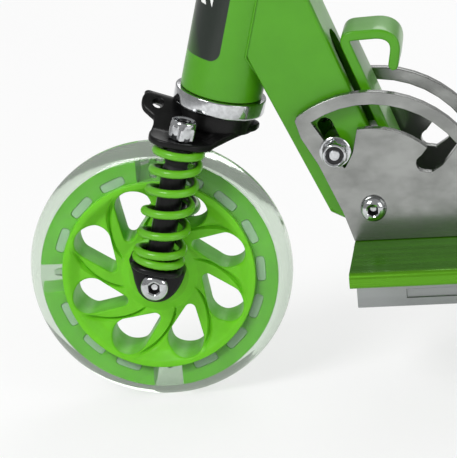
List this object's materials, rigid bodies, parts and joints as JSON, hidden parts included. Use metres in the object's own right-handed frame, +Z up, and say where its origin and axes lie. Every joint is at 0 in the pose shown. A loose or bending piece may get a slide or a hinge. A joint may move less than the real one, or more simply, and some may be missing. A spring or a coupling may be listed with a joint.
{
  "type": "three-wheel kick scooter",
  "caption": "Folding kick scooter for a child: sprung light-up front wheel, slotted folding plates with a pull hook, wide deck, telescoping T-bar and foot brake",
  "frame": {"origin": "on the ground, in the middle of the scooter's length and width", "axes": "+X to the rear, +Y to the rider's right, +Z up"},
  "size_m": [0.6274, 0.3066, 0.6786],
  "materials": {
    "green_paint": "gloss",
    "green_plastic": "semi-gloss",
    "black_paint": "gloss",
    "black_rubber": "matt",
    "clear_tyre": "clear, gloss",
    "chrome": "polished",
    "steel": "satin",
    "green_aluminium": "gloss enamel",
    "bare_aluminium": "mill"
  },
  "bodies": {
    "frame": {"deck": "green_aluminium", "grip_mat": "black_rubber", "under_frame": "bare_aluminium", "fold_plate_left": "steel", "fold_plate_right": "steel", "fold_pivot_bolt": "chrome", "fold_pivot_nut": "chrome", "rear_bracket": "black_paint", "rear_axle": "steel", "rear_axle_nut_left": "chrome", "rear_axle_nut_right": "chrome", "brake_pin": "steel", "brake_spring": "steel"},
    "beam": {"down_tube": "green_paint", "head_tube": "green_paint", "lower_headset_cup": "chrome", "upper_headset_cup": "chrome", "pivot_washer_left": "steel", "pivot_washer_right": "steel", "lock_spring": "steel"},
    "lock_hook": {"lock_hook": "green_paint", "lock_pin": "steel", "lock_nut_left": "chrome", "lock_nut_right": "chrome"},
    "steering": {"steerer_tube": "green_paint", "fork_crown": "black_paint", "clamp_collar": "black_paint", "clamp_bolt": "chrome", "spring_left": "green_paint", "spring_right": "green_paint"},
    "fork_lower": {"leg_rod_left": "black_paint", "leg_rod_right": "black_paint", "leg_nut_left": "chrome", "leg_nut_right": "chrome", "dropout_left": "black_paint", "dropout_right": "black_paint", "front_axle": "chrome", "front_axle_nut": "chrome", "axle_spacer_left": "steel", "axle_spacer_right": "steel"},
    "front_wheel": {"front_wheel_core": "green_plastic", "front_tyre": "clear_tyre", "front_bearing_left": "steel", "front_bearing_right": "steel"},
    "rear_wheel_left": {"rear_core_left": "green_plastic", "rear_tyre_left": "clear_tyre", "rear_bearing_left_outer": "steel", "rear_bearing_left_inner": "steel"},
    "rear_wheel_right": {"rear_core_right": "green_plastic", "rear_tyre_right": "clear_tyre", "rear_bearing_right_outer": "steel", "rear_bearing_right_inner": "steel"},
    "handlebar": {"inner_tube": "chrome", "crossbar": "green_paint", "grip_left": "black_rubber", "grip_right": "black_rubber"},
    "clamp_lever": {"clamp_lever": "black_paint"},
    "brake_fender": {"brake_fender": "black_paint"}
  },
  "joints": [
    {"name": "fold", "type": "hinge", "parent": "frame", "child": "beam", "pos_m": [-0.12005, 0, 0.1089], "axis": [0, 1, 0], "range_deg": [0, 80]},
    {"name": "lock_lift", "type": "slide", "parent": "beam", "child": "lock_hook", "axis": [-0.3746, 0, 0.9272], "range_m": [0, 0.014], "stiffness_N_per_m": 800, "springref_m": -0.01, "deforming": ["lock_spring"]},
    {"name": "steer", "type": "hinge", "parent": "beam", "child": "steering", "pos_m": [-0.22773, 0, 0.06888], "axis": [0.2588, 0, 0.9659], "range_deg": [-52, 52]},
    {"name": "suspension", "type": "slide", "parent": "steering", "child": "fork_lower", "axis": [-0.2588, 0, -0.9659], "range_m": [-0.012, 0], "stiffness_N_per_m": 10000, "springref_m": 0.01, "deforming": ["spring_left", "spring_right"]},
    {"name": "front_wheel_spin", "type": "hinge", "parent": "fork_lower", "child": "front_wheel", "pos_m": [-0.24125, 0, 0.0725], "axis": [0, 1, 0], "continuous": true},
    {"name": "rear_wheel_left_spin", "type": "hinge", "parent": "frame", "child": "rear_wheel_left", "pos_m": [0.25375, -0.06, 0.06], "axis": [0, 1, 0], "continuous": true},
    {"name": "rear_wheel_right_spin", "type": "hinge", "parent": "frame", "child": "rear_wheel_right", "pos_m": [0.25375, 0.06, 0.06], "axis": [0, 1, 0], "continuous": true},
    {"name": "bar_height", "type": "slide", "parent": "steering", "child": "handlebar", "axis": [0.2588, 0, 0.9659], "range_m": [0, 0.12]},
    {"name": "clamp_open", "type": "hinge", "parent": "steering", "child": "clamp_lever", "pos_m": [-0.1159, -0.0163, 0.36606], "axis": [0.2588, 0, 0.9659], "range_deg": [0, 150]},
    {"name": "brake", "type": "hinge", "parent": "frame", "child": "brake_fender", "pos_m": [0.19475, 0, 0.0995], "axis": [0, 1, 0], "range_deg": [0, 4], "stiffness_Nm_per_rad": 1, "springref_deg": -28.65}
  ]
}
